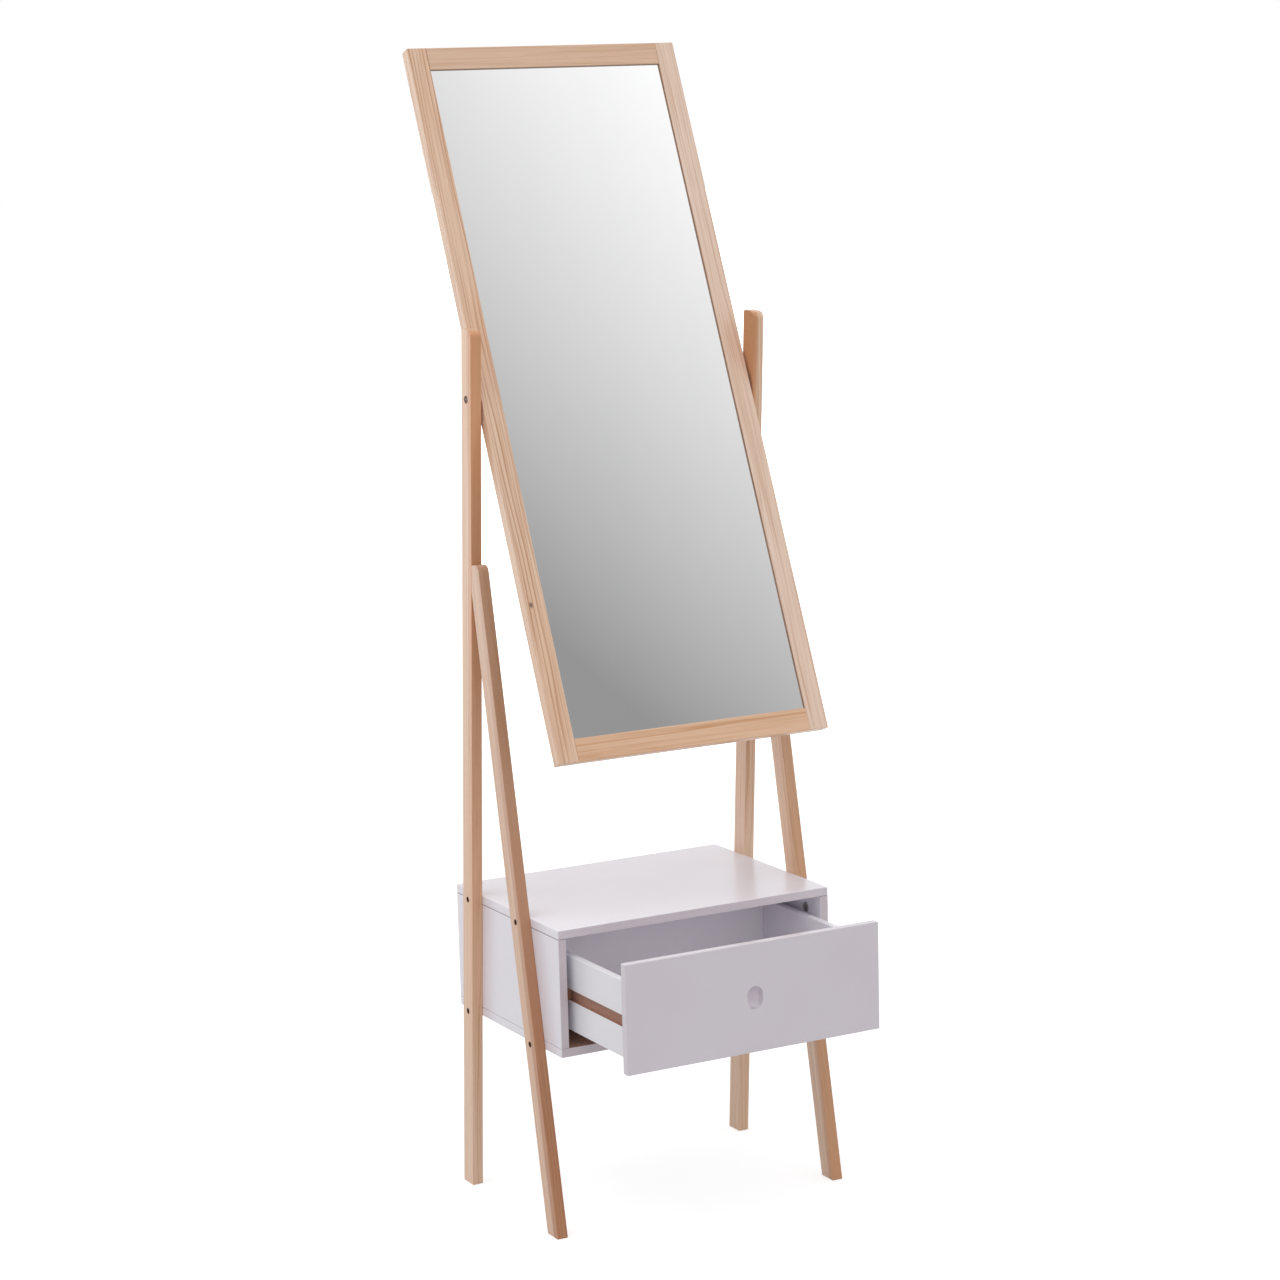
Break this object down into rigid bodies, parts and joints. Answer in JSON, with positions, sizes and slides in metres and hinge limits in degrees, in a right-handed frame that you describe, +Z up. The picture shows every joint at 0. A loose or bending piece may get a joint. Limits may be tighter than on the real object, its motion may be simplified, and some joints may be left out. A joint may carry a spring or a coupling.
{
  "type": "cheval floor mirror",
  "caption": "Tall framed mirror tilting between two leaning wooden posts, with splayed front legs and a small cabinet with one drawer between them.",
  "frame": {"origin": "on the floor, at the middle of the footprint of the whole part as stored (mirror tilted back, drawer open)", "axes": "+X to the right seen from the front, -Y towards the front where the drawer opens, +Z up"},
  "size_m": [0.46, 0.5553, 1.6094],
  "materials": {
    "pine": "clear matt lacquer on pale straight-grained pine",
    "dowel": "plain hardwood dowel",
    "runner_wood": "planed hardwood strip, unfinished",
    "lacquer": "satin white lacquer on fibreboard",
    "mirror_glass": "silvered float glass",
    "backing": "brown hardboard, unfinished",
    "steel": "zinc-plated screw steel",
    "zinc": "die-cast zinc, dull",
    "washer": "natural nylon",
    "brass": "turned brass"
  },
  "bodies": {
    "stand": {"left_rear_post": "pine", "right_rear_post": "pine", "left_front_leg": "pine", "right_front_leg": "pine", "left_leg_dowel": "dowel", "right_leg_dowel": "dowel", "left_leg_screw": "steel", "right_leg_screw": "steel", "left_cabinet_bolts": "steel", "right_cabinet_bolts": "steel", "cabinet_top": "lacquer", "cabinet_bottom": "lacquer", "cabinet_left_side": "lacquer", "cabinet_right_side": "lacquer", "cabinet_back": "lacquer", "left_cam_locks": "zinc", "right_cam_locks": "zinc", "left_cam_bolts": "zinc", "right_cam_bolts": "zinc", "left_cabinet_dowels": "dowel", "right_cabinet_dowels": "dowel", "left_runner": "runner_wood", "right_runner": "runner_wood", "left_runner_screws": "steel", "right_runner_screws": "steel"},
    "drawer": {"drawer_front": "lacquer", "drawer_left_side": "lacquer", "drawer_right_side": "lacquer", "drawer_back": "lacquer", "drawer_bottom": "lacquer", "drawer_dowels": "dowel", "drawer_screws": "steel"},
    "mirror": {"mirror_left_stile": "pine", "mirror_right_stile": "pine", "mirror_top_rail": "pine", "mirror_bottom_rail": "pine", "mirror_dowels": "dowel", "mirror_glass": "mirror_glass", "mirror_backing": "backing", "mirror_clips": "zinc", "clip_screws": "steel", "left_pivot_bolt": "steel", "right_pivot_bolt": "steel", "left_pivot_washer": "washer", "right_pivot_washer": "washer", "left_pivot_insert": "brass", "right_pivot_insert": "brass"}
  },
  "joints": [
    {"name": "mirror_tilt", "type": "hinge", "parent": "stand", "child": "mirror", "pos_m": [0, 0.07218, 1.138], "axis": [1, 0, 0], "range_deg": [-40, 60]},
    {"name": "drawer_slide", "type": "slide", "parent": "stand", "child": "drawer", "axis": [0, -1, 0], "range_m": [-0.157, 0.033]}
  ]
}
